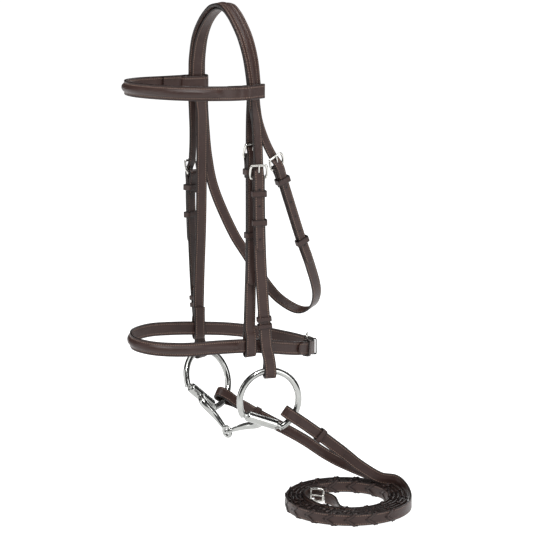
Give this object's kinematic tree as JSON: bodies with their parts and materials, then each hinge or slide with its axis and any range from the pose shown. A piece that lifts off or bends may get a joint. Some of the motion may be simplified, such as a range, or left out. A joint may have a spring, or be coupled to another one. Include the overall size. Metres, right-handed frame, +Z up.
{
  "type": "snaffle bridle",
  "caption": "English snaffle bridle: padded headpiece, raised browband and noseband, buckled cheekpieces and throatlatch, jointed eggbutt bit, laced reins laid in a coil",
  "frame": {"origin": "middle of the underside of the strap that rests on the poll, behind the horse's ears", "axes": "+Z up as worn, -Y towards the horse's nose, +X towards the near (left) side"},
  "size_m": [0.3263, 0.3408, 0.67],
  "materials": {
    "browband": "dark havana bridle leather, satin, roughness 0.42",
    "browband_roll": "dark havana bridle leather, satin, roughness 0.42",
    "chin_buckle": "nickel plate, roughness 0.22",
    "chin_fixed_keeper": "dark havana bridle leather, satin, roughness 0.42",
    "chin_runner_keeper": "dark havana bridle leather, satin, roughness 0.42",
    "chin_tongue": "nickel plate, roughness 0.22",
    "far_bit_arm": "polished stainless steel, roughness 0.14",
    "far_bit_ring": "polished stainless steel, roughness 0.14",
    "far_cheek_buckle": "nickel plate, roughness 0.22",
    "far_cheek_fixed_keeper": "dark havana bridle leather, satin, roughness 0.42",
    "far_cheek_hook_stud": "nickel plate, roughness 0.22",
    "far_cheek_lower_inner_keeper": "dark havana bridle leather, satin, roughness 0.42",
    "far_cheek_runner_keeper": "dark havana bridle leather, satin, roughness 0.42",
    "far_cheek_tongue": "nickel plate, roughness 0.22",
    "far_cheek_upper_inner_keeper": "dark havana bridle leather, satin, roughness 0.42",
    "far_cheekpiece": "dark havana bridle leather, satin, roughness 0.42",
    "far_rein_billet": "dark havana bridle leather, satin, roughness 0.42",
    "far_rein_hook_stud": "nickel plate, roughness 0.22",
    "far_rein_keeper": "dark havana bridle leather, satin, roughness 0.42",
    "far_rein_run": "dark havana bridle leather, satin, roughness 0.42",
    "hanger_buckle": "nickel plate, roughness 0.22",
    "hanger_fixed_keeper": "dark havana bridle leather, satin, roughness 0.42",
    "hanger_runner_keeper": "dark havana bridle leather, satin, roughness 0.42",
    "hanger_tongue": "nickel plate, roughness 0.22",
    "headpiece": "dark havana bridle leather, satin, roughness 0.42",
    "near_bit_arm": "polished stainless steel, roughness 0.14",
    "near_bit_ring": "polished stainless steel, roughness 0.14",
    "near_cheek_buckle": "nickel plate, roughness 0.22",
    "near_cheek_fixed_keeper": "dark havana bridle leather, satin, roughness 0.42",
    "near_cheek_hook_stud": "nickel plate, roughness 0.22",
    "near_cheek_lower_inner_keeper": "dark havana bridle leather, satin, roughness 0.42",
    "near_cheek_runner_keeper": "dark havana bridle leather, satin, roughness 0.42",
    "near_cheek_tongue": "nickel plate, roughness 0.22",
    "near_cheek_upper_inner_keeper": "dark havana bridle leather, satin, roughness 0.42",
    "near_cheekpiece": "dark havana bridle leather, satin, roughness 0.42",
    "near_rein_billet": "dark havana bridle leather, satin, roughness 0.42",
    "near_rein_hook_stud": "nickel plate, roughness 0.22",
    "near_rein_keeper": "dark havana bridle leather, satin, roughness 0.42",
    "near_rein_run": "dark havana bridle leather, satin, roughness 0.42",
    "noseband": "dark havana bridle leather, satin, roughness 0.42",
    "noseband_cheek": "dark havana bridle leather, satin, roughness 0.42",
    "noseband_hanger": "dark havana bridle leather, satin, roughness 0.42",
    "noseband_roll": "dark havana bridle leather, satin, roughness 0.42",
    "rein_buckle": "nickel plate, roughness 0.22",
    "rein_buckle_tongue": "nickel plate, roughness 0.22",
    "rein_coil": "dark havana bridle leather, satin, roughness 0.42",
    "throat_buckle": "nickel plate, roughness 0.22",
    "throat_fixed_keeper": "dark havana bridle leather, satin, roughness 0.42",
    "throat_runner_keeper": "dark havana bridle leather, satin, roughness 0.42",
    "throat_tongue": "nickel plate, roughness 0.22",
    "throatlatch": "dark havana bridle leather, satin, roughness 0.42"
  },
  "bodies": {
    "root": {"chin_buckle": "chin_buckle", "chin_fixed_keeper": "chin_fixed_keeper", "far_cheek_buckle": "far_cheek_buckle", "far_cheek_fixed_keeper": "far_cheek_fixed_keeper", "far_cheek_hook_stud": "far_cheek_hook_stud", "far_cheek_lower_inner_keeper": "far_cheek_lower_inner_keeper", "far_cheek_upper_inner_keeper": "far_cheek_upper_inner_keeper", "far_cheekpiece": "far_cheekpiece", "far_rein_run": "far_rein_run", "hanger_buckle": "hanger_buckle", "hanger_fixed_keeper": "hanger_fixed_keeper", "headpiece": "headpiece", "near_cheek_buckle": "near_cheek_buckle", "near_cheek_fixed_keeper": "near_cheek_fixed_keeper", "near_cheek_hook_stud": "near_cheek_hook_stud", "near_cheek_lower_inner_keeper": "near_cheek_lower_inner_keeper", "near_cheek_upper_inner_keeper": "near_cheek_upper_inner_keeper", "near_cheekpiece": "near_cheekpiece", "near_rein_run": "near_rein_run", "noseband": "noseband", "noseband_cheek": "noseband_cheek", "noseband_hanger": "noseband_hanger", "noseband_roll": "noseband_roll", "rein_buckle": "rein_buckle", "rein_coil": "rein_coil", "throat_buckle": "throat_buckle", "throat_fixed_keeper": "throat_fixed_keeper", "throatlatch": "throatlatch"},
    "browband": {"browband": "browband", "browband_roll": "browband_roll"},
    "near_ring": {"near_bit_ring": "near_bit_ring", "near_rein_billet": "near_rein_billet", "near_rein_hook_stud": "near_rein_hook_stud"},
    "far_ring": {"far_bit_ring": "far_bit_ring", "far_rein_billet": "far_rein_billet", "far_rein_hook_stud": "far_rein_hook_stud"},
    "near_arm": {"near_bit_arm": "near_bit_arm"},
    "far_arm": {"far_bit_arm": "far_bit_arm"},
    "near_cheek_tongue": {"near_cheek_tongue": "near_cheek_tongue"},
    "far_cheek_tongue": {"far_cheek_tongue": "far_cheek_tongue"},
    "throat_tongue": {"throat_tongue": "throat_tongue"},
    "hanger_tongue": {"hanger_tongue": "hanger_tongue"},
    "chin_tongue": {"chin_tongue": "chin_tongue"},
    "rein_buckle_tongue": {"rein_buckle_tongue": "rein_buckle_tongue"},
    "near_cheek_runner_keeper": {"near_cheek_runner_keeper": "near_cheek_runner_keeper"},
    "far_cheek_runner_keeper": {"far_cheek_runner_keeper": "far_cheek_runner_keeper"},
    "throat_runner_keeper": {"throat_runner_keeper": "throat_runner_keeper"},
    "hanger_runner_keeper": {"hanger_runner_keeper": "hanger_runner_keeper"},
    "chin_runner_keeper": {"chin_runner_keeper": "chin_runner_keeper"},
    "near_rein_keeper": {"near_rein_keeper": "near_rein_keeper"},
    "far_rein_keeper": {"far_rein_keeper": "far_rein_keeper"}
  },
  "joints": [
    {"name": "browband_slide", "type": "slide", "parent": "root", "child": "browband", "axis": [0, 0, 1], "range_m": [-0.001, 0.006]},
    {"name": "near_ring_swing", "type": "hinge", "parent": "root", "child": "near_ring", "pos_m": [0.06661, 0.03223, -0.47923], "axis": [-0.2591, -0.9657, 0.0151], "range_deg": [-5, 5], "deforming": ["near_rein_run"]},
    {"name": "far_ring_swing", "type": "hinge", "parent": "root", "child": "far_ring", "pos_m": [-0.07485, 0.00186, -0.47701], "axis": [0.342, -0.9397, 0.0001], "range_deg": [-2.5, 2.5], "deforming": ["far_rein_run"]},
    {"name": "near_arm_turn", "type": "hinge", "parent": "near_ring", "child": "near_arm", "pos_m": [0.06504, 0.02132, -0.54731], "axis": [-0.2485, -0.9008, 0.3561], "range_deg": [-9.5, 9.5]},
    {"name": "far_arm_turn", "type": "hinge", "parent": "far_ring", "child": "far_arm", "pos_m": [-0.04854, -0.01039, -0.53499], "axis": [0.0199, -0.7452, 0.6666], "range_deg": [-3, 3]},
    {"name": "near_cheek_tongue_lift", "type": "hinge", "parent": "root", "child": "near_cheek_tongue", "pos_m": [0.08301, 0.00588, -0.21402], "axis": [0.3417, 0.9396, 0.0176], "range_deg": [0, 10]},
    {"name": "far_cheek_tongue_lift", "type": "hinge", "parent": "root", "child": "far_cheek_tongue", "pos_m": [-0.08536, -0.00254, -0.22708], "axis": [0.3429, -0.9391, 0.0222], "range_deg": [0, 10]},
    {"name": "throat_tongue_lift", "type": "hinge", "parent": "root", "child": "throat_tongue", "pos_m": [0.07386, 0.03995, -0.20236], "axis": [0.0074, 0.893, 0.45], "range_deg": [0, 10]},
    {"name": "hanger_tongue_lift", "type": "hinge", "parent": "root", "child": "hanger_tongue", "pos_m": [0.06541, 0.00396, -0.18698], "axis": [-0.0034, 0.9999, 0.0154], "range_deg": [0, 10]},
    {"name": "chin_tongue_lift", "type": "hinge", "parent": "root", "child": "chin_tongue", "pos_m": [0.00961, 0.1259, -0.465], "axis": [0.0402, -0.0099, -0.9991], "range_deg": [0, 10]},
    {"name": "rein_buckle_tongue_lift", "type": "hinge", "parent": "root", "child": "rein_buckle_tongue", "pos_m": [0.11244, 0.08955, -0.6505], "axis": [0, 0, 1], "range_deg": [0, 10]},
    {"name": "near_cheek_runner_keeper_slide", "type": "slide", "parent": "root", "child": "near_cheek_runner_keeper", "axis": [-0.0324, 0.0436, -0.9985], "range_m": [-0.008, 0.012]},
    {"name": "far_cheek_runner_keeper_slide", "type": "slide", "parent": "root", "child": "far_cheek_runner_keeper", "axis": [0.0216, 0.0153, -0.9996], "range_m": [-0.012, 0.02]},
    {"name": "throat_runner_keeper_slide", "type": "slide", "parent": "root", "child": "throat_runner_keeper", "axis": [-0.1266, 0.4159, -0.9005], "range_m": [-0.008, 0.006]},
    {"name": "hanger_runner_keeper_slide", "type": "slide", "parent": "root", "child": "hanger_runner_keeper", "axis": [-0.0087, -0.0033, -1], "range_m": [-0.02, 0.02]},
    {"name": "chin_runner_keeper_slide", "type": "slide", "parent": "root", "child": "chin_runner_keeper", "axis": [0.4708, -0.8694, 0.1497], "range_m": [-0.002, 0.002]},
    {"name": "near_rein_keeper_slide", "type": "slide", "parent": "near_ring", "child": "near_rein_keeper", "axis": [0.2277, 0.7497, -0.6214], "range_m": [-0.008, 0.007]},
    {"name": "far_rein_keeper_slide", "type": "slide", "parent": "far_ring", "child": "far_rein_keeper", "axis": [0.6325, 0.6421, -0.4332], "range_m": [-0.003, 0.005]}
  ],
  "couplings": [
    {"joint": "far_ring_swing", "follows": "near_ring_swing", "ratio": 0.2836},
    {"joint": "near_arm_turn", "follows": "near_ring_swing", "ratio": -1.7998},
    {"joint": "far_arm_turn", "follows": "near_ring_swing", "ratio": 0.5677}
  ]
}
